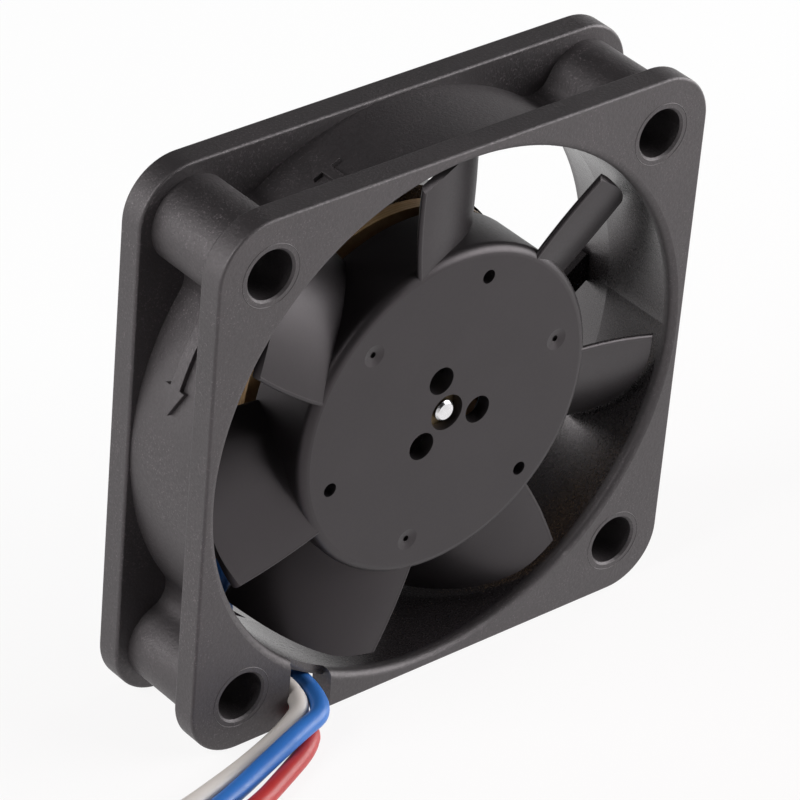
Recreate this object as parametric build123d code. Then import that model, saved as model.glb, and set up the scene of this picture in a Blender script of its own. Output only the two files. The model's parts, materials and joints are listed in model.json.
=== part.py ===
"""Axial cooling fan, 40 mm square and 10 mm deep, standing on its lower edge.

The rotor face looks along -Y, the struts are at +Y, and the shaft runs along Y.
The origin is the middle of the footprint, on the surface that the fan stands on.
Depths are measured from the front face towards the struts, in millimetres.
"""
import os
from math import cos, hypot, pi, radians, sin, sqrt, tan

from build123d import *

# Frame
frame_size = 40.0
frame_depth = 10.0
hole_inset = 4.0
hole_radius = 1.75
mouth_chamfer = 0.15
corner_radius = 3.9
edge_round = 0.2
flange_thickness = 1.9
column_radius = 3.05
column_blend = 1.6
duct_edge = 0.9
duct_wall = 0.65
duct_flare = 0.5
flare_length = 3.6
inlet_round = 0.5

# Motor base and struts
base_thickness = 1.2
strut_width = 1.9
strut_inset = 0.8
strut_angle = 36.0
post_radius = 0.7
post_inset = 2.0
post_angles = (90.0, 330.0, 240.0)

# Leads
lead_diameter = 1.3
lead_gap = 0.1
channel_inset = 0.07
channel_floor = 0.4
channel_lip = 0.4
lip_start = 7.0
pocket_right = -8.0
pocket_low = -7.6
pocket_high = 2.6
channel_left_height = 1.4
channel_right_height = 0.8
notch_left = -11.95
notch_right = -8.4
notch_height = 4.9
passage_left = -13.05
passage_right = -10.15
passage_length = 3.05
passage_height = 7.9

# Bearing and shaft
shaft_radius = 0.75
bearing_clearance = 0.02
bearing_radius = 2.2
bearing_to_rear = 2.3
tube_wall = 0.55
tube_lead = 0.2
groove_radius = 0.5
washer_thickness = 0.25
washer_clearance = 0.1
thrust_radius = 1.6
thrust_thickness = 0.25
shaft_end_play = 0.02
well_floor = 0.8

# Spaces along the shaft, between the pieces of the motor
base_to_board = 0.95
board_to_core = 1.75
board_to_rotor = 1.2
yoke_to_core = 1.35
strut_to_blades = 2.2

# Stator
air_gap = 0.3
core_hub_wall = 1.45
neck_width = 1.9
shoe_thickness = 0.8
shoe_gap = 2.4
bobbin_wall = 0.4
bobbin_height = 1.35
bobbin_flange_width = 4.4
winding_width = 4.2
winding_proud = 1.05
winding_to_hub = 0.55

# Circuit board
board_thickness = 1.0
board_inset = 0.2
board_clearance = 0.2
pin_radius = 0.25
pin_inset = 1.0
pin_angles = (45.0, 135.0, 225.0, 315.0)
pin_proud = 0.4
tail_length = 1.1
solder_radius = 0.5
sensor_circle = 8.6
chip_circle = 7.4
pair_circles = (8.2, 6.9)
diode_circle = 10.0

# Impeller
blade_count = 7
hub_radius = 12.0
hub_face = 0.45
hub_wall = 1.0
hub_round = 0.7
tip_clearance = 0.7
tip_round = 0.8
blade_setback = 0.22
blade_root_inset = 0.15
blade_thickness = 0.72
blade_edge_thickness = 0.4
root_lead_angle = 3.0
root_trail_angle = -36.0
tip_lead_angle = -2.0
tip_trail_angle = -29.5
root_camber = 0.9
tip_camber = 1.25
yoke_thickness = 0.5
yoke_opening = 4.2
magnet_thickness = 1.2
magnet_front_gap = 0.2
rotor_rim_inset = 0.15
vent_radius = 1.0
vent_circle = 2.75
vent_angles = (105.0, 225.0, 345.0)
peg_radius = 0.5
peg_inset = 2.2
peg_angles = (75.0, 195.0, 315.0)
dimple_radius = 0.8
dimple_depth = 0.15
dimple_inset = 2.6
dimple_angles = (15.0, 135.0, 255.0)
gate_radius = 0.22
gate_depth = 0.2
recess_radius = 1.3
recess_depth = 0.9
shaft_setback = 0.1
boss_radius = 2.4
boss_length = 1.05
bush_radius = 1.55
slinger_radius = 1.6
slinger_thickness = 0.2

# Put-away length of the leads, wound beside the fan
coil_centre = (-54.0, -7.7)
coil_outer_turn = 10.4
coil_turns = 5
tie_thickness = 0.3
tie_width = 1.6
tie_slack = 0.12
bare_radius = 0.3
bare_length = 2.85
bare_angle = -100.0
bare_heading = 140.0

# Places that follow from the sizes above
front_y = -frame_depth / 2
axis_z = frame_size / 2
fan_plane = Plane(origin=(0, front_y, axis_z), x_dir=(1, 0, 0), z_dir=(0, -1, 0))
hole_offset = frame_size / 2 - hole_inset
duct_radius = frame_size / 2 - duct_edge
duct_outer = duct_radius + duct_wall
tip_radius = duct_radius - tip_clearance
base_radius = hub_radius
base_front = frame_depth - base_thickness
strut_offset = base_radius - strut_inset
channel_width = 2 * lead_diameter + lead_gap
channel_offset = base_radius - channel_inset + channel_width / 2
lead_radius = lead_diameter / 2
board_rear = base_front - base_to_board
board_front = board_rear - board_thickness
board_radius = base_radius - board_inset
tube_radius = bearing_radius + tube_wall
core_hub = tube_radius + core_hub_wall
winding_inner = core_hub + winding_to_hub
pin_circle = tube_radius + pin_inset
face_rear = hub_face + hub_wall
yoke_rear = face_rear + yoke_thickness
core_front = yoke_rear + yoke_to_core
core_rear = board_front - board_to_core
bearing_front = core_front - tube_lead
bearing_rear = frame_depth - bearing_to_rear
washer_rear = bearing_rear + washer_thickness
thrust_rear = frame_depth - well_floor
thrust_front = thrust_rear - thrust_thickness
shaft_rear = thrust_front - shaft_end_play
hub_rear = board_front - board_to_rotor
boss_rear = face_rear + boss_length
rotor_rim = hub_rear - rotor_rim_inset
hub_inner = hub_radius - hub_wall
yoke_inner = hub_inner - yoke_thickness
magnet_inner = yoke_inner - magnet_thickness
core_radius = magnet_inner - air_gap
blade_front = hub_face + blade_setback
blade_root_rear = hub_rear - blade_root_inset
blade_tip_rear = base_front - strut_to_blades


def disc(radius, near, far, at=(0, 0)):
    """A cylinder along the fan's axis between two depths."""
    return Pos(at[0], at[1], -(near + far) / 2) * Cylinder(radius, far - near)


def tube(outer, inner, near, far):
    return disc(outer, near, far) - disc(inner, near - 1, far + 1)


def block(left, right, low, high, near, far):
    """A box from its X, Z and depth limits, from the fan's axis and front face."""
    middle = Pos((left + right) / 2, (low + high) / 2, -(near + far) / 2)
    return middle * Box(right - left, high - low, far - near)


def slab(sketch, near, far):
    """A sketch in the fan's plane, made solid between two depths."""
    return extrude(Pos(0, 0, -far) * sketch, far - near)


def ring_of(shape, angles):
    return [Rot(0, 0, angle) * shape for angle in angles]


def place(shape):
    """Move a shape from the fan's own axes to the part's frame."""
    return fan_plane.location * shape


def revolved(*points):
    """A solid turned about the fan's axis from points of radius and depth."""
    corners = [(radius, -depth) for radius, depth in points]
    return revolve(Plane.XZ * make_face(Polyline(corners, close=True)), Axis.Z)


# Frame moulding

def corners(distance):
    """The four corner places at that distance from the axis in X and Z."""
    return [Pos(x, z) for x in (-distance, distance) for z in (-distance, distance)]


def flange(near, far):
    plate = slab(RectangleRounded(frame_size, frame_size, corner_radius), near, far)
    rims = plate.edges().filter_by(Plane.XY)
    return fillet(rims, edge_round)


def column_blend_fill():
    """Fills between the duct and one column, up to two arcs that touch both."""
    distance = hypot(hole_offset, hole_offset)
    to_duct = duct_outer + column_blend
    to_column = column_radius + column_blend
    along = (distance ** 2 + to_duct ** 2 - to_column ** 2) / (2 * distance)
    across = sqrt(to_duct ** 2 - along ** 2)
    kite = make_face(Polyline((0, 0), (along, -across), (distance, 0), (along, across), close=True))
    return kite - Pos(along, across) * Circle(column_blend) - Pos(along, -across) * Circle(column_blend)


def duct_body():
    """Duct wall and four screw columns, blended together between the flanges."""
    outline = Circle(duct_outer)
    outline += [place * Circle(column_radius) for place in corners(hole_offset)]
    outline += [Rot(0, 0, angle) * column_blend_fill() for angle in (45, 135, 225, 315)]
    return slab(outline, flange_thickness / 2, frame_depth - flange_thickness / 2)


def duct_bore():
    """The air passage: a rounded inlet, a straight duct and a flared outlet."""
    rear = duct_radius + duct_flare
    with BuildPart() as bore:
        with BuildSketch(Plane.XZ):
            with BuildLine():
                Polyline((duct_radius, -inlet_round), (duct_radius, flare_length - frame_depth),
                         (rear, -frame_depth), (rear, -frame_depth - 1), (0, -frame_depth - 1),
                         (0, 1), (duct_radius + inlet_round, 1), (duct_radius + inlet_round, 0))
                RadiusArc((duct_radius + inlet_round, 0), (duct_radius, -inlet_round), -inlet_round)
            make_face()
        revolve(axis=Axis.Z)
    return bore.part


def screw_holes():
    """Four screw holes, each with a slightly opened mouth at both faces."""
    wide = hole_radius + mouth_chamfer
    hole = revolved((0, -1), (wide, -1), (wide, 0), (hole_radius, mouth_chamfer),
                    (hole_radius, frame_depth - mouth_chamfer), (wide, frame_depth),
                    (wide, frame_depth + 1), (0, frame_depth + 1))
    return [place * hole for place in corners(hole_offset)]


def strut(number):
    """A strut that leaves the motor base along a tangent and ends in the duct wall."""
    length = sqrt(duct_outer ** 2 - strut_offset ** 2)
    bar = block(-2, length, -strut_width / 2, strut_width / 2, base_front, frame_depth)
    bar = Pos(0, -strut_offset) * bar
    return Rot(0, 0, strut_angle + 120 * number) * bar


def lead_strut():
    """The wider third strut: a shallow open channel that carries the leads."""
    side = channel_width / 2
    length = sqrt(duct_outer ** 2 - channel_offset ** 2)
    floor = block(0, length, -side - channel_lip, side + channel_lip, frame_depth - channel_floor, frame_depth)
    inner = block(lip_start, length, side, side + channel_lip, frame_depth - channel_right_height, frame_depth)
    outer = block(0, length, -side - channel_lip, -side, frame_depth - channel_left_height, frame_depth)
    bridge = block(-3.2, 0.2, -side - channel_lip, side + 3, frame_depth - channel_floor, frame_depth)
    channel = Pos(0, -channel_offset) * (floor + inner + outer + bridge)
    return Rot(0, 0, strut_angle + 240) * channel


def motor_base():
    base = disc(base_radius, base_front, frame_depth)
    base += disc(tube_radius, bearing_front - tube_lead, frame_depth)
    post = Pos(base_radius - post_inset, 0) * disc(post_radius, board_rear, base_front + 0.1)
    base += ring_of(post, post_angles)
    pocket = block(-base_radius - 1, pocket_right, pocket_low, pocket_high,
                   base_front - 0.5, frame_depth - channel_floor)
    base -= pocket
    base -= disc(bearing_radius, bearing_front - 1, washer_rear)
    base -= disc(thrust_radius, washer_rear - 0.1, thrust_rear)
    return base


def housing():
    half = frame_size / 2
    front = flange(0, flange_thickness)
    front -= block(notch_left, notch_right, -half - 1, -half + notch_height, -1, flange_thickness + 0.1)
    shell = front + flange(frame_depth - flange_thickness, frame_depth) + duct_body()
    passage_front = frame_depth - passage_length
    shell -= block(passage_left, passage_right, -half - 1, -half + passage_height,
                   passage_front, frame_depth + 1)
    shell -= duct_bore()
    inside = disc(duct_outer, base_front - 1, frame_depth)
    arms = (strut(0) + strut(1) + lead_strut()) & inside
    shell += arms + motor_base()
    shell -= screw_holes()
    return shell


# Bearing

def sleeve_bearing():
    bore = shaft_radius + bearing_clearance
    bearing = tube(bearing_radius, bore, bearing_front, bearing_rear)
    return chamfer(bearing.edges().filter_by(GeomType.CIRCLE), 0.12)


def retaining_washer():
    return tube(bearing_radius, groove_radius + washer_clearance, bearing_rear, washer_rear)


def thrust_plate():
    return disc(thrust_radius, thrust_front, thrust_rear)


# Stator

def stator_outline(neck, hub, reach):
    outline = Circle(hub)
    for angle in (0, 90, 180, 270):
        outline += Rot(0, 0, angle) * Pos(reach / 2, 0) * Rectangle(reach, neck)
    return outline


def stator_core():
    shoes = Circle(core_radius) - Circle(core_radius - shoe_thickness)
    for angle in (45, 135, 225, 315):
        shoes -= Rot(0, 0, angle) * Pos(core_radius, 0) * Rectangle(4, shoe_gap)
    outline = stator_outline(neck_width, core_hub, core_radius - shoe_thickness / 2) + shoes
    outline -= Circle(tube_radius)
    return slab(outline, core_front, core_rear)


def bobbin(near, far, flange_near, flange_far, collar_far):
    """Insulator on one face of the core, with a rim that keeps each winding in."""
    reach = core_radius - shoe_thickness
    cap = slab(stator_outline(neck_width + 2 * bobbin_wall, core_hub + 0.2, reach), near, far)
    rim = block(reach - 0.5, reach, -bobbin_flange_width / 2, bobbin_flange_width / 2, flange_near, flange_far)
    cap += ring_of(rim, (0, 90, 180, 270))
    low, high = min(near, collar_far), max(far, collar_far)
    cap += disc(core_hub + 0.2, low, high)
    cap -= disc(tube_radius, low - 1, high + 1)
    pin = Pos(pin_circle, 0) * disc(pin_radius, core_rear + bobbin_wall, board_rear)
    return cap - ring_of(pin, pin_angles)


def bobbin_front():
    near = core_front - bobbin_wall
    return bobbin(near, core_front, core_front - bobbin_height, core_front, near)


def bobbin_rear():
    far = core_rear + bobbin_wall
    return bobbin(core_rear, far, core_rear, core_rear + bobbin_height, board_front)


def winding(angle):
    """One pole's winding: a rounded loop of wire around the insulated neck."""
    reach = core_radius - shoe_thickness - 0.5
    inside_half = neck_width / 2 + bobbin_wall
    near = core_front - bobbin_wall
    far = core_rear + bobbin_wall
    length = reach - winding_inner
    outer = Rectangle(winding_width, far - near + 2 * (winding_proud - bobbin_wall))
    outer = fillet(outer.vertices(), 0.7)
    loop = outer - Rectangle(2 * inside_half, far - near)
    solid = extrude(loop, length)
    turn = Pos(winding_inner, 0, -(near + far) / 2) * Rot(0, 90, 0) * Rot(0, 0, 90)
    return Rot(0, 0, angle) * (turn * solid)


def winding_pins():
    pin = Pos(pin_circle, 0) * disc(pin_radius, core_rear + bobbin_wall, board_rear + pin_proud)
    return ring_of(pin, pin_angles)


# Circuit board

def circuit_board():
    board = tube(board_radius, tube_radius + board_clearance, board_front, board_rear)
    hole = Pos(pin_circle, 0) * disc(pin_radius, board_front - 1, board_rear + 1)
    return board - ring_of(hole, pin_angles)


def on_board(width, length, height, radius, angle):
    """A small part on the board's motor side."""
    body = block(-width / 2, width / 2, -length / 2, length / 2, board_front - height, board_front)
    return Rot(0, 0, angle) * (Pos(radius, 0) * body)


def solder_domes():
    """Solder on the winding pins."""
    cone = Pos(pin_circle, 0, -board_rear - 0.25) * Rot(180, 0, 0) * Cone(0.55, 0.3, 0.5)
    pin = Pos(pin_circle, 0) * disc(pin_radius, board_rear - 1, board_rear + 1)
    return ring_of(cone - pin, pin_angles)


# Rotor

def blade():
    """One blade, lofted through curved sections that twist from root to tip."""
    mid_angle = (root_lead_angle + tip_trail_angle) / 2
    sections = []
    for share in (-0.12, 0.35, 0.7, 1.08):
        height = hub_radius * 0.95 + share * (tip_radius * 0.975 - hub_radius * 0.95)
        lead = root_lead_angle + share * (tip_lead_angle - root_lead_angle) - mid_angle
        trail = root_trail_angle + share * (tip_trail_angle - root_trail_angle) - mid_angle
        rear = blade_root_rear + share * (blade_tip_rear - blade_root_rear)
        start = Vector(height * tan(radians(lead)), -blade_front)
        end = Vector(height * tan(radians(trail)), -rear)
        along = (end - start).normalized()
        across = Vector(-along.Y, along.X)
        if across.Y < 0:
            across = -across
        camber = root_camber + share * (tip_camber - root_camber)
        sections.append(blade_section(height, start, end, along, across, camber))
    solid = loft(sections)
    return Rot(0, 0, mid_angle) * solid


def blade_section(height, start, end, along, across, camber):
    """A thin closed arc that bulges to the inlet side, as a wing bulges upwards."""
    edge = blade_edge_thickness / 2
    half = blade_thickness / 2
    middle = (start + end) * 0.5 + across * camber
    front_start = start + across * edge
    front_end = end + across * edge
    front_middle = middle + across * half
    back_start = start - across * edge
    back_end = end - across * edge
    back_middle = middle - across * half
    plane = Plane(origin=(height, 0, 0), x_dir=(0, 1, 0), z_dir=(1, 0, 0))
    lines = (ThreePointArc(front_start, front_middle, front_end)
             + ThreePointArc(front_end, end + along * edge, back_end)
             + ThreePointArc(back_end, back_middle, back_start)
             + ThreePointArc(back_start, start - along * edge, front_start))
    return plane * make_face(lines)


def blade_envelope():
    """What the spinning blades sweep: the tip radius, with a rounded leading corner."""
    near = blade_front - blade_edge_thickness / 2 - 0.05
    with BuildPart() as envelope:
        with BuildSketch(Plane.XZ):
            with BuildLine():
                Polyline((tip_radius - tip_round, -near), (0, -near), (0, -blade_tip_rear - 1),
                         (tip_radius, -blade_tip_rear - 1), (tip_radius, -near - tip_round))
                RadiusArc((tip_radius - tip_round, -near), (tip_radius, -near - tip_round), tip_round)
            make_face()
        revolve(axis=Axis.Z)
    return envelope.part


def impeller():
    hub = disc(hub_radius, hub_face, hub_rear)
    front_edge = hub.edges().filter_by(GeomType.CIRCLE).sort_by(Axis.Z)[-1]
    hub = fillet(front_edge, hub_round)
    one = blade() & blade_envelope()
    step = 360 / blade_count
    body = hub + [Rot(0, 0, step * number) * one for number in range(blade_count)]
    body -= disc(hub_inner, face_rear, blade_tip_rear + 2)
    body += disc(boss_radius, face_rear - 0.1, boss_rear)
    body -= disc(recess_radius, hub_face - 1, hub_face + recess_depth)
    body -= disc(bush_radius, hub_face + recess_depth - 0.1, boss_rear + 1)
    vent = Pos(vent_circle, 0) * disc(vent_radius, hub_face - 1, boss_rear + 1)
    body -= ring_of(vent, vent_angles)
    peg_hole = Pos(hub_radius - peg_inset, 0) * disc(peg_radius, hub_face - 1, face_rear + 0.1)
    body -= ring_of(peg_hole, peg_angles)
    bottom = hub_face + dimple_depth
    dimple = revolved((0, -1), (dimple_radius, -1), (dimple_radius, hub_face), (gate_radius, bottom),
                      (gate_radius, bottom + gate_depth), (0, bottom + gate_depth))
    dimple = Pos(hub_radius - dimple_inset, 0) * dimple
    body -= ring_of(dimple, dimple_angles)
    return body


def rotor_yoke():
    cup = disc(hub_inner, face_rear, rotor_rim) - disc(yoke_inner, yoke_rear, rotor_rim + 1)
    return cup - disc(yoke_opening, face_rear - 1, yoke_rear + 1)


def ring_magnet():
    return tube(yoke_inner, magnet_inner, yoke_rear + magnet_front_gap, rotor_rim)


def shaft():
    body = disc(shaft_radius, hub_face + shaft_setback, shaft_rear)
    body = chamfer(body.edges().filter_by(GeomType.CIRCLE).sort_by(Axis.Z)[-1], 0.15)
    rear_edge = body.edges().filter_by(GeomType.CIRCLE).sort_by(Axis.Z)[0]
    body = fillet(rear_edge, 0.35)
    groove = tube(shaft_radius + 1, groove_radius, bearing_rear - 0.06, washer_rear + 0.06)
    return body - groove


def shaft_bush():
    return tube(bush_radius, shaft_radius, hub_face + recess_depth, boss_rear - 0.05)


def slinger_washer():
    near = boss_rear + 0.05
    return tube(slinger_radius, shaft_radius, near, near + slinger_thickness)


# Leads: X, distance in front of the rear face, and height above the lower edge of each point.

held_routes = {
    "lead_blue": [(-8.9, 1.45, 15.3), (-9.75, 1.45, 12.5), (-11.1, 2.4, 10.7), (-12.0, 2.37, 7.7),
                  (-11.6, 2.32, 4.8), (-11.4, 2.42, 2.0), (-10.5, 4.8, 2.0), (-9.6, 6.6, 2.0),
                  (-9.75, 8.1, 2.0)],
    "lead_white": [(-10.1, 1.45, 20.6), (-11.4, 1.4, 18.4), (-13.4, 1.1, 15.4), (-13.19, 1.09, 11.4),
                   (-12.7, 1.1, 7.4), (-12.28, 1.1, 4.1), (-12.18, 1.25, 0.9), (-12.32, 4.0, 1.26),
                   (-11.15, 6.4, 2.22), (-11.15, 8.1, 2.15)],
    "lead_red": [(-9.4, 1.45, 18.0), (-10.3, 1.4, 16.1), (-12.05, 1.1, 13.8), (-11.75, 1.09, 10.6),
                 (-11.35, 1.1, 7.1), (-10.95, 1.1, 4.0), (-10.83, 1.25, 0.7), (-10.95, 4.4, 0.66),
                 (-11.1, 6.1, 0.66), (-11.15, 8.1, 0.66)],
}

free_routes = {
    "lead_blue": [(-9.75, 8.1, 2.0), (-10.05, 12.0, 2.02), (-13.5, 13.1, 2.1), (-16.7, 13.7, 1.25),
                  (-20.3, 14.75, 0.8), (-24.6, 15.75, 0.66), (-28.9, 15.95, 0.66),
                  (-33.92, 16.76, 0.66), (-38.12, 18.12, 1.4), (-41.96, 20.06, 2.38),
                  (-46.15, 21.46, 2.3)],
    "lead_white": [(-11.15, 8.1, 2.15), (-11.2, 10.9, 2.2), (-13.3, 11.6, 1.3), (-16.5, 12.3, 0.66),
                   (-20.5, 13.35, 0.66), (-24.9, 14.3, 0.66), (-29.2, 14.5, 0.66),
                   (-34.28, 15.31, 0.66), (-38.5, 16.65, 1.5), (-42.16, 19.32, 3.7),
                   (-46.15, 21.46, 3.7)],
    "lead_red": [(-11.15, 8.1, 0.66), (-11.22, 11.75, 0.66), (-12.9, 13.4, 0.66),
                 (-15.8, 14.75, 0.66), (-19.2, 16.25, 0.66), (-23.8, 17.2, 0.66),
                 (-28.4, 17.45, 0.66), (-33.56, 18.22, 0.66), (-37.77, 19.53, 0.7),
                 (-41.89, 20.35, 0.95), (-46.15, 21.46, 0.95)],
}

# From the lowest layer of the put-away coil to the highest
lead_names = ("lead_red", "lead_blue", "lead_white")


def in_part_frame(point):
    x, from_rear, height = point
    return Vector(x, frame_depth / 2 - from_rear, height)


def bend_radii(points, share):
    """Each corner's arc: a share of its shorter run over the tangent of half the turn."""
    radii = []
    for before, corner, after in zip(points, points[1:], points[2:]):
        one, two = corner - before, after - corner
        half_turn = radians(one.get_angle(two)) / 2
        radii.append(share * min(one.length, two.length) / tan(half_turn))
    return radii


def lead_tube(name, route, share=0.45):
    points = [in_part_frame(point) for point in route]
    radii = bend_radii(points, share)
    path = FilletPolyline(points, radius=radii)
    section = Plane(origin=path @ 0, z_dir=path % 0) * Circle(lead_radius)
    solid = sweep(section, path=path)
    expected = pi * lead_radius ** 2 * path.length
    print(name, "length", round(path.length, 2), "volume ratio", round(solid.volume / expected, 4),
          "radii", [round(radius, 1) for radius in radii])
    return solid


def coil_radii():
    outer = coil_outer_turn + lead_radius
    return outer, outer - (coil_turns + 1) * lead_diameter


def layer_height(layer):
    return tie_thickness + (layer + 0.5) * lead_diameter


def lead_coil(layer):
    """The outer shape of one lead's flat winding, one layer of the put-away coil."""
    outer, inner = coil_radii()
    solid = Cylinder(outer, lead_diameter) - Cylinder(inner, lead_diameter + 1)
    return Pos(coil_centre[0], coil_centre[1], layer_height(layer)) * solid


def lead_end(layer):
    """The stripped and tinned end of a lead, in the middle of its coil."""
    reach = coil_radii()[1] - bare_radius - 0.02
    start = Vector(coil_centre[0] + reach * cos(radians(bare_angle)),
                   coil_centre[1] + reach * sin(radians(bare_angle)), layer_height(layer))
    along = Vector(cos(radians(bare_heading)), sin(radians(bare_heading)), 0)
    return rod(start, start + along * bare_length, bare_radius)


def rod(start, end, radius):
    along = end - start
    return extrude(Plane(origin=start, z_dir=along) * Circle(radius), along.length)


def lead_tail(name):
    """The tinned tail of a lead, soldered to the back of the board."""
    first, second = [in_part_frame(point) for point in held_routes[name][:2]]
    end = first + (first - second).normalized() * tail_length
    tail = rod(first, end, pin_radius)
    drop = Vector(end.X, front_y + board_rear, end.Z)
    pad = rod(drop, Vector(end.X, end.Y + pin_radius, end.Z), solder_radius)
    return tail + pad


def coil_tie():
    """A flat tie around the coil's section, on the side away from the fan."""
    outer, inner = coil_radii()
    height = 3 * lead_diameter
    width = outer - inner + 2 * tie_slack
    loop = Box(width + 2 * tie_thickness, tie_width, height + 2 * tie_thickness)
    loop -= Box(width, tie_width + 1, height)
    middle = (outer + inner) / 2
    return Pos(coil_centre[0] - middle, coil_centre[1], tie_thickness + height / 2) * loop


# Files

def save(name, shape):
    solids = shape if isinstance(shape, (list, tuple)) else [shape]
    placed = [place(solid) for solid in solids]
    write(name, placed)


def write(name, shapes):
    body = shapes[0] if len(shapes) == 1 else Compound(children=list(shapes), label=name)
    export_step(body, "parts/" + name + ".step")


def main():
    os.makedirs("parts", exist_ok=True)
    save("housing", housing())
    save("sleeve_bearing", sleeve_bearing())
    save("retaining_washer", retaining_washer())
    save("thrust_plate", thrust_plate())
    save("stator_core", stator_core())
    save("bobbin_front", bobbin_front())
    save("bobbin_rear", bobbin_rear())
    for number in range(4):
        save("winding_" + str(number + 1), winding(90 * number))
    save("winding_pins", winding_pins())
    save("circuit_board", circuit_board())
    save("hall_sensor", on_board(1.6, 2.9, 0.9, sensor_circle, 45))
    save("driver_chip", on_board(3.0, 3.0, 1.0, chip_circle, 225))
    save("capacitors", [on_board(0.8, 1.6, 0.8, circle, 135) for circle in pair_circles])
    save("resistors", [on_board(0.8, 1.6, 0.45, circle, 315) for circle in pair_circles])
    save("reverse_diode", on_board(1.3, 2.6, 1.0, diode_circle, 300))
    write("solder_joints", [place(dome) for dome in solder_domes()] + [lead_tail(name) for name in lead_names])
    save("impeller", impeller())
    save("rotor_yoke", rotor_yoke())
    save("ring_magnet", ring_magnet())
    save("shaft", shaft())
    save("shaft_bush", shaft_bush())
    save("slinger_washer", slinger_washer())
    for layer, name in enumerate(lead_names):
        write(name + "_held", [lead_tube(name + "_held", held_routes[name])])
        write(name + "_free", [lead_tube(name + "_free", free_routes[name])])
        write(name + "_coil", [lead_coil(layer)])
        write(name + "_end", [lead_end(layer)])
    write("coil_tie", [coil_tie()])


main()
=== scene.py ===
"""Looks of the 40 mm axial cooling fan: camera, leads, raised marks, materials and studio.

Everything is in metres in the part's own frame, apart from the values that are marked as
millimetres. The rotor faces -Y, the shaft runs along Y at a height of 20 mm, and the fan
stands on Z = 0.
"""

from math import cos, radians, sin, sqrt

import bmesh
import bpy
from mathutils import Matrix, Vector
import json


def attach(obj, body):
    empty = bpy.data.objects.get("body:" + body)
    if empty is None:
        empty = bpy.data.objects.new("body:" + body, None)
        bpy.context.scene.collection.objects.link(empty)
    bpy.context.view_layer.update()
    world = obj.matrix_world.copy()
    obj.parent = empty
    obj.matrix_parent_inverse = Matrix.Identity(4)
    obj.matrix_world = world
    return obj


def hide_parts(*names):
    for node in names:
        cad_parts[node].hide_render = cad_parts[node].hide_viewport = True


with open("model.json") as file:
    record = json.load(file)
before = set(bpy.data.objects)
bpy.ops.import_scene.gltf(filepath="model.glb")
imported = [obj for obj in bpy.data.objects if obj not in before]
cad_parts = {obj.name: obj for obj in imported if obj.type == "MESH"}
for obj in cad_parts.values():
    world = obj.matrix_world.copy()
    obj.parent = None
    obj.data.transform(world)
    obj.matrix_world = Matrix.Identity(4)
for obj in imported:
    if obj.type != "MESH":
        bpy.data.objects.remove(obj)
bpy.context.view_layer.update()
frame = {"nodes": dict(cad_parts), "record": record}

MM = 0.001
AXIS = Vector((0.0, 0.0, 0.020))
FRONT = -0.005
SQUARE = ((-1, -1), (1, -1), (1, 1), (-1, 1))


def in_metres(x, depth, height):
    """The place of a point given in millimetres: X, depth behind the front face, height over the axis."""
    return (x * MM, depth * MM + FRONT, height * MM + AXIS.z)


def add_object(name, data):
    piece = bpy.data.objects.new(name, data)
    bpy.context.collection.objects.link(piece)
    return piece


# Camera: its place, its axes, and its lens and sensor in millimetres

CAMERA_PLACE = (-0.18254, -0.20136, 0.19581)
CAMERA_RIGHT = (0.77062, -0.63286, 0.07503)
CAMERA_DOWN = (-0.29934, -0.46339, -0.83407)
CAMERA_AHEAD = (0.56262, 0.62029, -0.54654)
CAMERA_LENS = 223.86
CAMERA_SENSOR = 36.0
CAMERA_SHIFT = (-0.0019, 0.0)
CAMERA_NEAR = 0.01


def make_camera():
    data = bpy.data.cameras.new("camera")
    data.sensor_width = CAMERA_SENSOR
    data.lens = CAMERA_LENS
    data.shift_x, data.shift_y = CAMERA_SHIFT
    data.clip_start = CAMERA_NEAR
    camera = add_object("camera", data)
    right, down, ahead = Vector(CAMERA_RIGHT), Vector(CAMERA_DOWN), Vector(CAMERA_AHEAD)
    turn = Matrix((right, -down, -ahead)).transposed().to_4x4()
    camera.matrix_world = Matrix.Translation(CAMERA_PLACE) @ turn
    bpy.context.scene.camera = camera


# Leads, in millimetres: each route starts inside the slot and ends where the coil begins

FREE_ROUTES = {
    "lead_blue": [(-9.75, 1.9, -18.0), (-10.05, -2.0, -17.98), (-13.5, -3.1, -17.9), (-16.7, -3.7, -18.75),
                  (-20.3, -4.75, -19.2), (-24.6, -5.75, -19.34), (-28.9, -5.95, -19.34),
                  (-33.92, -6.76, -19.34), (-38.12, -8.12, -18.6), (-41.96, -10.06, -17.62),
                  (-46.15, -11.46, -17.7)],
    "lead_white": [(-11.15, 1.9, -17.85), (-11.2, -0.9, -17.8), (-13.3, -1.6, -18.7), (-16.5, -2.3, -19.34),
                   (-20.5, -3.35, -19.34), (-24.9, -4.3, -19.34), (-29.2, -4.5, -19.34),
                   (-34.28, -5.31, -19.34), (-38.5, -6.65, -18.5), (-42.16, -9.32, -16.3),
                   (-46.15, -11.46, -16.3)],
    "lead_red": [(-11.15, 1.9, -19.34), (-11.22, -1.75, -19.34), (-12.9, -3.4, -19.34),
                 (-15.8, -4.75, -19.34), (-19.2, -6.25, -19.34), (-23.8, -7.2, -19.34),
                 (-28.4, -7.45, -19.34), (-33.56, -8.22, -19.34), (-37.77, -9.53, -19.3),
                 (-41.89, -10.35, -19.05), (-46.15, -11.46, -19.05)],
}
# From the lowest layer of the coil to the highest
LEAD_LAYERS = ("lead_red", "lead_blue", "lead_white")
LEAD_DIAMETER = 1.3
COIL_CENTRE = (-54.0, -7.7)
COIL_OUTER_TURN = 10.4
COIL_TURNS = 4.75
COIL_FLOOR = 0.3
# Angle in degrees, seen from above
COIL_START = -76
POINTS_PER_TURN = 24
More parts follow.
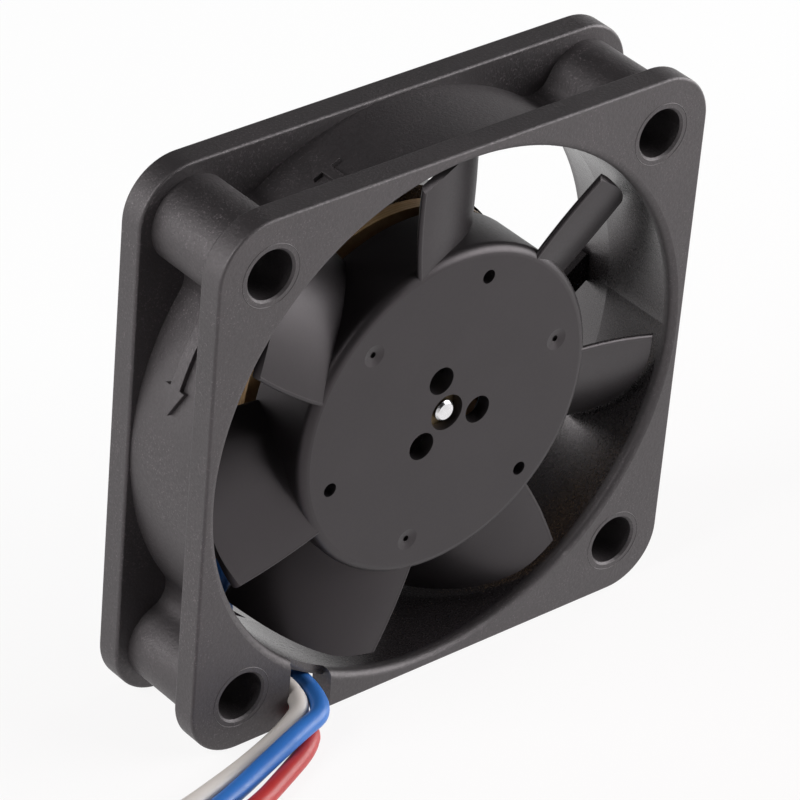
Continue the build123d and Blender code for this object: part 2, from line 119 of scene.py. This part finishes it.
# Angle and radius of the points where the last turn leaves the coil for its middle
COIL_END = ((-361, 4.15), (-376, 4.05), (-391, 3.9), (-406, 3.7), (-420, 3.47), (-434, 3.24),
            (-446, 3.06), (-457, 2.95), (-460, 2.93))
SPLINE_ORDER = 3
STEPS_PER_POINT = 10
STEPS_AROUND = 7


def coil_points(layer):
    """The turns of one lead in millimetres, from the outside inwards, clockwise seen from above."""
    height = COIL_FLOOR + (layer + 0.5) * LEAD_DIAMETER
    step = 360 / POINTS_PER_TURN
    # The spline runs a little inside its control points, so they lie further out
    outward = 1 / sqrt(cos(radians(step / 2)))
    ring = []
    for count in range(int(COIL_TURNS * POINTS_PER_TURN) + 1):
        radius = COIL_OUTER_TURN - LEAD_DIAMETER * count / POINTS_PER_TURN
        ring.append((COIL_START - count * step, radius * outward))
    x, y = COIL_CENTRE
    return [(x + radius * cos(radians(angle)), y + radius * sin(radians(angle)), height)
            for angle, radius in ring + list(COIL_END)]


def tube_curve(name, points, diameter):
    """A round tube along a smooth spline with these control points, in metres."""
    data = bpy.data.curves.new(name, "CURVE")
    data.dimensions = "3D"
    data.resolution_u = STEPS_PER_POINT
    # A depth of one makes each point's radius the tube's own
    data.bevel_depth = 1.0
    data.bevel_resolution = STEPS_AROUND
    data.use_fill_caps = True
    spline = data.splines.new("NURBS")
    spline.points.add(len(points) - 1)
    for control, point in zip(spline.points, points):
        control.co = (*point, 1.0)
        control.radius = diameter / 2
    spline.order_u = SPLINE_ORDER
    spline.use_endpoint_u = True
    return add_object(name, data)


def make_leads():
    """Each lead is one curve, from its exit through all turns of the coil."""
    leads = {}
    for layer, name in enumerate(LEAD_LAYERS):
        route = [in_metres(*point) for point in FREE_ROUTES[name]]
        turns = [(x * MM, y * MM, z * MM) for x, y, z in coil_points(layer)]
        piece = tube_curve(name + "_insulation", route + turns, LEAD_DIAMETER * MM)
        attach(piece, "frame")
        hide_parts(name + "_free", name + "_coil")
        leads[name] = piece
    return leads


def add_mark(name, mesh):
    """A raised mark in the frame's own plastic."""
    bmesh.ops.recalc_face_normals(mesh, faces=mesh.faces[:])
    data = bpy.data.meshes.new(name)
    mesh.to_mesh(data)
    mesh.free()
    piece = add_object(name, data)
    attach(piece, "frame")
    return piece


# Raised arrows on the outside of the duct, in millimetres: turning sense and air flow

DUCT_OUTSIDE = 19.75
ARROW_HEIGHT = 0.35
ARROW_SUNK = 0.06
ARROW_ROUNDING = 0.06
ARROW_STRIP = 0.4
CUT_TOLERANCE = 1e-6
# The least angle in degrees of an edge that is rounded
SHARP = 40


def arrow_outline(head_length, head_half, shaft_length, shaft_half):
    """An arrow that points along the first axis, with its tip at zero."""
    tail = -head_length - shaft_length
    return [(0, 0), (-head_length, head_half), (-head_length, shaft_half), (tail, shaft_half),
            (tail, -shaft_half), (-head_length, -shaft_half), (-head_length, -head_half)]


def raised_arrow(name, angle, depth, outline, around):
    """An arrow on the duct's outer wall; its tip is at that angle and depth.

    It points round the duct, or towards the struts where around is false.
    """
    mesh = bmesh.new()
    mesh.faces.new([mesh.verts.new((x, y, 0)) for x, y in outline])
    # The flat arrow is cut into strips, so that it can bend round the duct
    reach = max(abs(x) if around else abs(y) for x, y in outline)
    normal = Vector((1, 0, 0) if around else (0, 1, 0))
    strips = int(reach / ARROW_STRIP)
    for count in range(-strips, strips + 1):
        bmesh.ops.bisect_plane(mesh, geom=mesh.verts[:] + mesh.edges[:] + mesh.faces[:], dist=CUT_TOLERANCE,
                               plane_co=count * ARROW_STRIP * normal, plane_no=normal)
    raised = bmesh.ops.extrude_face_region(mesh, geom=mesh.faces[:])
    top = {item for item in raised["geom"] if isinstance(item, bmesh.types.BMVert)}
    for vert in mesh.verts:
        run, back = vert.co.xy if around else vert.co.yx
        radius = DUCT_OUTSIDE + (ARROW_HEIGHT if vert in top else -ARROW_SUNK)
        turn = radians(angle) + run / DUCT_OUTSIDE
        vert.co = in_metres(radius * cos(turn), depth + back, radius * sin(turn))
    piece = add_mark(name, mesh)
    soften = piece.modifiers.new("soft_edges", "BEVEL")
    soften.width = ARROW_ROUNDING * MM
    soften.segments = 2
    soften.limit_method = "ANGLE"
    soften.angle_limit = radians(SHARP)
    return piece


def make_arrows():
    turning = arrow_outline(head_length=1.95, head_half=0.95, shaft_length=5.2, shaft_half=0.48)
    air_flow = arrow_outline(head_length=1.8, head_half=1.1, shaft_length=1.9, shaft_half=0.36)
    return [raised_arrow("arrow_turning", angle=167.5, depth=4.85, outline=turning, around=True),
            raised_arrow("arrow_air_flow", angle=113.1, depth=6.85, outline=air_flow, around=False)]


# Hairlines that the mould's core pins leave round the screw holes, in millimetres

HOLE_PITCH = 32.0
PIN_LINE_RADIUS = 2.22
PIN_LINE_HALF_WIDTH = 0.05
PIN_LINE_HEIGHT = 0.025
PIN_LINE_STEPS = 72


def pin_line_section(mesh, x_side, z_side, turn):
    """The three corners of the hairline at that turn round one screw hole."""
    corners = []
    for across in (-1, 0, 1):
        radius = PIN_LINE_RADIUS + across * PIN_LINE_HALF_WIDTH
        depth = PIN_LINE_HEIGHT if across else -PIN_LINE_HEIGHT
        corners.append(mesh.verts.new(in_metres(x_side * HOLE_PITCH / 2 + radius * cos(turn), depth,
                                                z_side * HOLE_PITCH / 2 + radius * sin(turn))))
    return corners


def make_pin_lines():
    """Four low closed rings on the front face, one round each screw hole."""
    mesh = bmesh.new()
    for x_side, z_side in SQUARE:
        sections = [pin_line_section(mesh, x_side, z_side, radians(360 * step / PIN_LINE_STEPS))
                    for step in range(PIN_LINE_STEPS)]
        for first, second in zip(sections, sections[1:] + sections[:1]):
            for corner in range(3):
                following = (corner + 1) % 3
                mesh.faces.new((first[corner], first[following], second[following], second[corner]))
    return add_mark("pin_lines", mesh)


# Materials

# The range that holds most of a noise texture's values
NOISE_LOW, NOISE_HIGH = 0.3, 0.7
# Bands per metre of the wave texture at a scale of one
BANDS_PER_METRE = 3.183


class Nodes:
    """Adds and joins the nodes of one material or world. A colour is red, green and blue."""

    def __init__(self, owner, coordinates):
        owner.use_nodes = True
        self.tree = owner.node_tree
        self.place = self.add("ShaderNodeTexCoord").outputs[coordinates]

    def add(self, kind, **settings):
        node = self.tree.nodes.new(kind)
        for key, value in settings.items():
            setattr(node, key, value)
        return node

    def join(self, source, target):
        """Feed a socket from another socket, or set it to a number or a colour."""
        if isinstance(source, bpy.types.NodeSocket):
            self.tree.links.new(source, target)
        elif isinstance(source, tuple):
            target.default_value = (*source, 1.0)
        else:
            target.default_value = source

    def part(self, letter):
        """One coordinate of the place."""
        parts = self.add("ShaderNodeSeparateXYZ")
        self.join(self.place, parts.inputs["Vector"])
        return parts.outputs[letter]

    def combine(self, first, second, operation="MULTIPLY"):
        node = self.add("ShaderNodeMath", operation=operation)
        self.join(first, node.inputs[0])
        self.join(second, node.inputs[1])
        return node.outputs["Value"]

    def spread(self, value, low, high, to_low=0.0, to_high=1.0):
        """The value's range from low to high, drawn out or pressed to another range and kept inside it."""
        node = self.add("ShaderNodeMapRange")
        self.join(value, node.inputs["Value"])
        for key, number in (("From Min", low), ("From Max", high), ("To Min", to_low), ("To Max", to_high)):
            node.inputs[key].default_value = number
        return node.outputs["Result"]

    def stretch(self, noise, to_low=0.0, to_high=1.0):
        """A noise's usual range, drawn out or pressed to another range."""
        return self.spread(noise, NOISE_LOW, NOISE_HIGH, to_low, to_high)

    def blend(self, share, first, second):
        """A mix of two colours; the Mix node's colour sockets have no names of their own."""
        node = self.add("ShaderNodeMix", data_type="RGBA")
        self.join(share, node.inputs["Factor"])
        self.join(first, node.inputs[6])
        self.join(second, node.inputs[7])
        return node.outputs[2]

    def show_mix(self, share, first, second):
        """A mix of two shaders as the surface of the material or world."""
        node = self.add("ShaderNodeMixShader")
        self.join(share, node.inputs["Fac"])
        self.join(first, node.inputs[1])
        self.join(second, node.inputs[2])
        self.join(node.outputs["Shader"], self.tree.get_output_node("ALL").inputs["Surface"])


class MaterialNodes(Nodes):
    """The nodes of one new material, round its Principled shader."""

    def __init__(self, name):
        self.material = bpy.data.materials.new(name)
        super().__init__(self.material, "Object")
        self.shader = self.tree.nodes["Principled BSDF"]

    def set(self, **values):
        for key, value in values.items():
            self.join(value, self.shader.inputs[key.replace("_", " ")])

    def noise(self, size, detail=3.0, rough=0.5):
        """Noise whose features are about size metres across, centred on 0.5."""
        node = self.add("ShaderNodeTexNoise")
        node.inputs["Scale"].default_value = 1 / size
        node.inputs["Detail"].default_value = detail
        node.inputs["Roughness"].default_value = rough
        self.join(self.place, node.inputs["Vector"])
        return node.outputs["Fac"]

    def waves(self, size, direction, distortion, kind="BANDS"):
        """Bands or rings that repeat every size metres."""
        node = self.add("ShaderNodeTexWave", wave_type=kind)
        if kind == "BANDS":
            node.bands_direction = direction
        else:
            node.rings_direction = direction
        node.inputs["Scale"].default_value = 1 / size / BANDS_PER_METRE
        node.inputs["Distortion"].default_value = distortion
        self.join(self.place, node.inputs["Vector"])
        return node.outputs["Fac"]

    def off_axis(self):
        """The distance from the shaft's axis."""
        across = self.add("ShaderNodeVectorMath", operation="MULTIPLY_ADD")
        self.join(self.place, across.inputs[0])
        across.inputs[1].default_value = (1, 0, 1)
        across.inputs[2].default_value = -AXIS
        length = self.add("ShaderNodeVectorMath", operation="LENGTH")
        self.join(across.outputs["Vector"], length.inputs[0])
        return length.outputs["Value"]

    def bump(self, height, depth, strength, after=None):
        """Relief of about depth metres, on top of the bump that it comes after."""
        node = self.add("ShaderNodeBump")
        self.join(height, node.inputs["Height"])
        self.join(depth, node.inputs["Distance"])
        self.join(strength, node.inputs["Strength"])
        if after is not None:
            self.join(after, node.inputs["Normal"])
        self.set(Normal=node.outputs["Normal"])
        return node.outputs["Normal"]


WARM_GLOSS = (1.0, 0.93, 0.955)
MAUVE_GLOSS = (1.0, 0.90, 0.945)
# Size of a fibre fleck against the skin's grain, its strength and its gain over the base colour; the pale
# specks are partly painted glints
FLECK_AND_GLINT_SIZE = 0.6
FLECK_AND_GLINT_STRENGTH = 0.5
FLECK_AND_GLINT_GAIN = 9
PIT_STRENGTH = 0.8
# The duct's bore, and its share of the outer skin's roughness, pale specks with their painted glints, and
# relief
BORE_SKIN = 0.0196
BORE_GLOSS = 0.5
BORE_FLECKS_AND_GLINTS = 0.3
BORE_RELIEF = 0.12
BORE_FADE = 0.0001
# Depth of the textured edge round the inlet, and of its change to the smooth bore
INLET_EDGE = 0.0006
INLET_FADE = 0.0003
# Depth of a metal's turned or drawn lines against their pitch
LINE_DEPTH = 0.12


def skin_gloss(nodes, bore):
    """A factor for the roughness: smaller within the bore, and one outside it and at the inlet's edge."""
    beyond = nodes.spread(nodes.off_axis(), bore - BORE_FADE, bore + BORE_FADE, BORE_GLOSS, 1.0)
    edge = FRONT + INLET_EDGE
    inlet = nodes.spread(nodes.part("Y"), edge, edge + INLET_FADE, 1.0, BORE_GLOSS)
    return nodes.combine(beyond, inlet, "MAXIMUM")


def filled_plastic(name, dark, light, grain=0.00022, relief=0.00003, rough=(0.42, 0.58), bore=None):
    """Glass-filled moulded plastic: a fine pitted skin with paler fibre specks, partly their own colour and
    partly painted glints.

    Where a bore's radius is given, the skin within it is as smooth as the polished core left it.
    """
    nodes = MaterialNodes(name)
    broad = nodes.noise(size=0.006, detail=2.0)
    fine = nodes.noise(size=grain, detail=4.0, rough=0.6)
    fleck_and_glint_spots = nodes.noise(size=grain * FLECK_AND_GLINT_SIZE, detail=1.0)
    flecks_and_glints = nodes.spread(fleck_and_glint_spots, low=0.60, high=0.72, to_high=FLECK_AND_GLINT_STRENGTH)
    patches = nodes.spread(nodes.noise(size=0.0045), low=0.42, high=0.62, to_low=0.15)
    speckle_and_glints = nodes.combine(flecks_and_glints, patches)
    roughness = nodes.stretch(fine, *rough)
    strength = PIT_STRENGTH
    if bore:
        gloss = skin_gloss(nodes, bore)
        roughness = nodes.combine(roughness, gloss)
        # Fewer pale specks, and so fewer painted glints, in the smooth bore
        speckle_and_glints = nodes.combine(speckle_and_glints, nodes.spread(gloss, BORE_GLOSS, 1.0, BORE_FLECKS_AND_GLINTS, 1.0))
        strength = nodes.spread(gloss, BORE_GLOSS, 1.0, BORE_RELIEF * PIT_STRENGTH, PIT_STRENGTH)
    base = nodes.blend(nodes.stretch(broad), dark, light)
    # Pale specks: partly the fibres' own paler colour and partly painted glints
    pale = tuple(min(1.0, part * FLECK_AND_GLINT_GAIN) for part in light)
    pits = nodes.bump(fine, depth=relief, strength=strength)
    nodes.bump(broad, depth=0.00008, strength=0.2, after=pits)
    nodes.set(Base_Color=nodes.blend(speckle_and_glints, base, pale), Roughness=roughness,
              IOR=1.8, Specular_Tint=WARM_GLOSS)
    return nodes.material


def smooth_plastic(name, dark, light, rough):
    """Smoother moulded plastic with a slight flow pattern and scuffs."""
    nodes = MaterialNodes(name)
    broad = nodes.noise(size=0.005)
    fine = nodes.noise(size=0.00018, rough=0.55)
    scuffs = nodes.bump(fine, depth=0.000006, strength=0.4)
    nodes.bump(broad, depth=0.00004, strength=0.15, after=scuffs)
    nodes.set(Base_Color=nodes.blend(nodes.stretch(broad), dark, light),
              Roughness=nodes.stretch(fine, *rough), IOR=1.5, Specular_Tint=MAUVE_GLOSS)
    return nodes.material


def insulation(name, colour, shade):
    """Soft extruded insulation: a slightly waxy skin with faint marks."""
    nodes = MaterialNodes(name)
    broad = nodes.noise(size=0.004, detail=2.0)
    fine = nodes.noise(size=0.00035, rough=0.6)
    nodes.bump(fine, depth=0.000012, strength=0.4)
    shading = nodes.spread(broad, low=0.35, high=0.7, to_high=0.8)
    nodes.set(Base_Color=nodes.blend(shading, colour, shade),
              Roughness=nodes.stretch(fine, to_low=0.3, to_high=0.46), IOR=1.48)
    return nodes.material


def metal(name, colour, shade, rough, line=None, kind="BANDS"):
    """Metal with tone changes, and turned, drawn or stacked lines where asked."""
    nodes = MaterialNodes(name)
    broad = nodes.noise(size=0.0012, detail=4.0, rough=0.6)
    if line:
        lines = nodes.waves(line, "Y", distortion=0.4, kind=kind)
        nodes.bump(lines, depth=line * LINE_DEPTH, strength=0.6)
    else:
        nodes.bump(nodes.noise(size=0.00015), depth=0.000006, strength=0.4)
    nodes.set(Base_Color=nodes.blend(nodes.stretch(broad), colour, shade),
              Roughness=nodes.stretch(broad, *rough), Metallic=1.0)
    return nodes.material


def layered_board(name, dark, light, layer):
    """Phenolic paper laminate: brown with sheet layers along the edge."""
    nodes = MaterialNodes(name)
    layers = nodes.waves(0.00022, "Y", distortion=1.2)
    cloudy = nodes.noise(size=0.0011, detail=4.0, rough=0.65)
    nodes.bump(layers, depth=0.00002, strength=0.5)
    face = nodes.blend(nodes.stretch(cloudy), dark, light)
    lined = nodes.blend(nodes.spread(layers, low=0.0, high=1.0, to_high=0.35), face, layer)
    nodes.set(Base_Color=lined, Roughness=nodes.stretch(cloudy, to_low=0.45, to_high=0.65))
    return nodes.material


def wound_wire(name, groove_shade, crown):
    """Fine enamelled copper wire laid side by side, painted darker in the grooves between turns as painted
    shade.
    """
    nodes = MaterialNodes(name)
    turns = nodes.waves(0.00012, "DIAGONAL", distortion=0.3)
    broad = nodes.noise(size=0.0012, detail=2.0)
    nodes.bump(turns, depth=0.00003, strength=0.8)
    # Painted shade: the colour is darker in the grooves between the turns
    nodes.set(Base_Color=nodes.blend(turns, groove_shade, crown),
              Roughness=nodes.stretch(broad, to_low=0.25, to_high=0.4), Metallic=0.85)
    return nodes.material


def make_materials():
    """One material for each slot: its maker, its two colours and its other looks."""
    slots = {
        "frame_plastic": (filled_plastic, (0.0085, 0.0072, 0.0078), (0.015, 0.0125, 0.0135),
                          dict(rough=(0.48, 0.62), bore=BORE_SKIN)),
        "rotor_plastic": (smooth_plastic, (0.010, 0.0088, 0.0094), (0.0135, 0.0118, 0.0126),
                          dict(rough=(0.37, 0.45))),
        "bronze": (metal, (0.42, 0.25, 0.12), (0.56, 0.36, 0.19), dict(rough=(0.4, 0.6))),
        "brass": (metal, (0.16, 0.12, 0.07), (0.24, 0.18, 0.10),
                  dict(rough=(0.35, 0.5), line=0.0001, kind="RINGS")),
        "washer_plastic": (smooth_plastic, (0.60, 0.58, 0.52), (0.72, 0.70, 0.64), dict(rough=(0.35, 0.5))),
        "core_steel": (metal, (0.28, 0.28, 0.29), (0.42, 0.42, 0.43), dict(rough=(0.3, 0.5), line=0.00035)),
        "bobbin_plastic": (smooth_plastic, (0.66, 0.64, 0.56), (0.78, 0.76, 0.69), dict(rough=(0.4, 0.55))),
        "copper_wire": (wound_wire, (0.2, 0.055, 0.018), (0.62, 0.21, 0.07), {}),
        "tinned_metal": (metal, (0.62, 0.62, 0.61), (0.78, 0.78, 0.78), dict(rough=(0.22, 0.42))),
        "board_laminate": (layered_board, (0.54, 0.31, 0.12), (0.78, 0.54, 0.28),
                           dict(layer=(0.30, 0.15, 0.05))),
        "component_black": (filled_plastic, (0.02, 0.02, 0.021), (0.03, 0.03, 0.032),
                            dict(grain=0.0001, relief=0.00001)),
        "component_tan": (smooth_plastic, (0.42, 0.30, 0.17), (0.54, 0.41, 0.26), dict(rough=(0.26, 0.38))),
        "yoke_steel": (metal, (0.46, 0.46, 0.47), (0.60, 0.60, 0.61),
                       dict(rough=(0.28, 0.42), line=0.00015)),
        "magnet_ferrite": (filled_plastic, (0.04, 0.036, 0.036), (0.065, 0.06, 0.06), dict(grain=0.00015)),
        "shaft_steel": (metal, (0.72, 0.72, 0.73), (0.84, 0.84, 0.85),
                        dict(rough=(0.14, 0.26), line=0.00008, kind="RINGS")),
        "lead_red": (insulation, (0.43, 0.03, 0.03), (0.36, 0.025, 0.025), {}),
        "lead_white": (insulation, (0.66, 0.61, 0.575), (0.56, 0.515, 0.485), {}),
        "lead_blue": (insulation, (0.030, 0.150, 0.48), (0.024, 0.125, 0.42), {}),
    }
    return {name: make(name, first, second, **looks) for name, (make, first, second, looks) in slots.items()}


def dress(piece, material):
    piece.data.materials.clear()
    piece.data.materials.append(material)


# Studio

FLOOR_HALF = 3.0
FLOOR_COLOURS = ((0.90, 0.90, 0.895), (0.93, 0.93, 0.925))
# Share of white in the floor that the camera and reflections see; the rest keeps the fan's shadow
FLOOR_WHITE = 0.90
# The floor's white is painted a little darker and warmer in front, as painted shade, and turns plain between
# these places along Y
WARM_SHADE_WHITE = (0.955, 0.92, 0.92)
WHITE = (1, 1, 1)
WARM_SHADE_FADE = (-0.16, 0.04)
# Light from the room, as ranges of the direction and the strengths at their ends
ROOM_UPWARD = (0.0, 0.4, 0.4, 0.03)
ROOM_BACKWARD = (-0.95, -0.45, 0.25, 1.25)
# Place, width and height in metres, and power in watts of each lamp
LAMPS = {
    "left": ((-0.52, 0.05, 0.36), (0.35, 0.35), 2.9),
    "left_rear": ((-0.40, 0.40, 0.08), (0.35, 0.14), 0.6),
    "right": ((0.42, -0.14, 0.15), (0.75, 0.30), 3.6),
    "front_right": ((0.35, -0.35, 0.33), (0.35, 0.35), 1.1),
}


def make_floor():
    """A pale floor that the camera and reflections see as nearly white, with painted shade a little darker
    and warmer in front.
    """
    data = bpy.data.meshes.new("studio_floor")
    data.from_pydata([(x * FLOOR_HALF, y * FLOOR_HALF, 0) for x, y in SQUARE], [], [(0, 1, 2, 3)])
    floor = add_object("studio_floor", data)
    nodes = MaterialNodes("studio_floor")
    nodes.set(Base_Color=nodes.blend(nodes.noise(size=0.4, detail=2.0), *FLOOR_COLOURS), Roughness=0.9)
    white = nodes.add("ShaderNodeEmission")
    # Painted shade: the white turns a little darker and warmer towards the front
    warm_shade = nodes.spread(nodes.part("Y"), *WARM_SHADE_FADE)
    nodes.join(nodes.blend(warm_shade, WARM_SHADE_WHITE, WHITE), white.inputs["Color"])
    path = nodes.add("ShaderNodeLightPath").outputs
    seen = nodes.combine(path["Is Camera Ray"], path["Is Glossy Ray"], "MAXIMUM")
    seen = nodes.combine(seen, path["Is Transmission Ray"], "MAXIMUM")
    nodes.show_mix(nodes.combine(seen, FLOOR_WHITE), nodes.shader.outputs["BSDF"], white.outputs["Emission"])
    dress(floor, nodes.material)


def background(nodes, strength):
    node = nodes.add("ShaderNodeBackground")
    nodes.join(WHITE, node.inputs["Color"])
    nodes.join(strength, node.inputs["Strength"])
    return node.outputs["Background"]


def make_world():
    """White where it is seen; as light and in reflections, dim overhead and dim straight in front."""
    world = bpy.data.worlds.new("studio")
    bpy.context.scene.world = world
    nodes = Nodes(world, "Generated")
    upward = nodes.spread(nodes.part("Z"), *ROOM_UPWARD)
    backward = nodes.spread(nodes.part("Y"), *ROOM_BACKWARD)
    path = nodes.add("ShaderNodeLightPath").outputs
    seen = nodes.combine(path["Is Camera Ray"], path["Is Transmission Ray"], "MAXIMUM")
    nodes.show_mix(seen, background(nodes, nodes.combine(upward, backward)), background(nodes, 1.0))


def make_lamp(name, place, size, power):
    """A rectangular lamp that points at the middle of the fan."""
    data = bpy.data.lights.new(name, "AREA")
    data.shape = "RECTANGLE"
    data.size, data.size_y = size
    data.energy = power
    lamp = add_object(name, data)
    lamp.location = place
    lamp.rotation_euler = (AXIS - Vector(place)).to_track_quat("-Z", "Y").to_euler()


def make_studio():
    make_floor()
    make_world()
    for name, (place, size, power) in LAMPS.items():
        make_lamp(name, place, size, power)
    bpy.context.scene.view_settings.view_transform = "Standard"


def dress_all(leads, marks, materials):
    """Give every CAD node, lead and mark the material of its slot."""
    for row in frame["record"]["subparts"]:
        dress(frame["nodes"][row["node"]], materials[row["material_slot"]])
    for name, lead in leads.items():
        dress(lead, materials[name])
    for mark in marks:
        dress(mark, materials["frame_plastic"])


make_camera()
leads = make_leads()
marks = make_arrows() + [make_pin_lines()]
dress_all(leads, marks, make_materials())
make_studio()
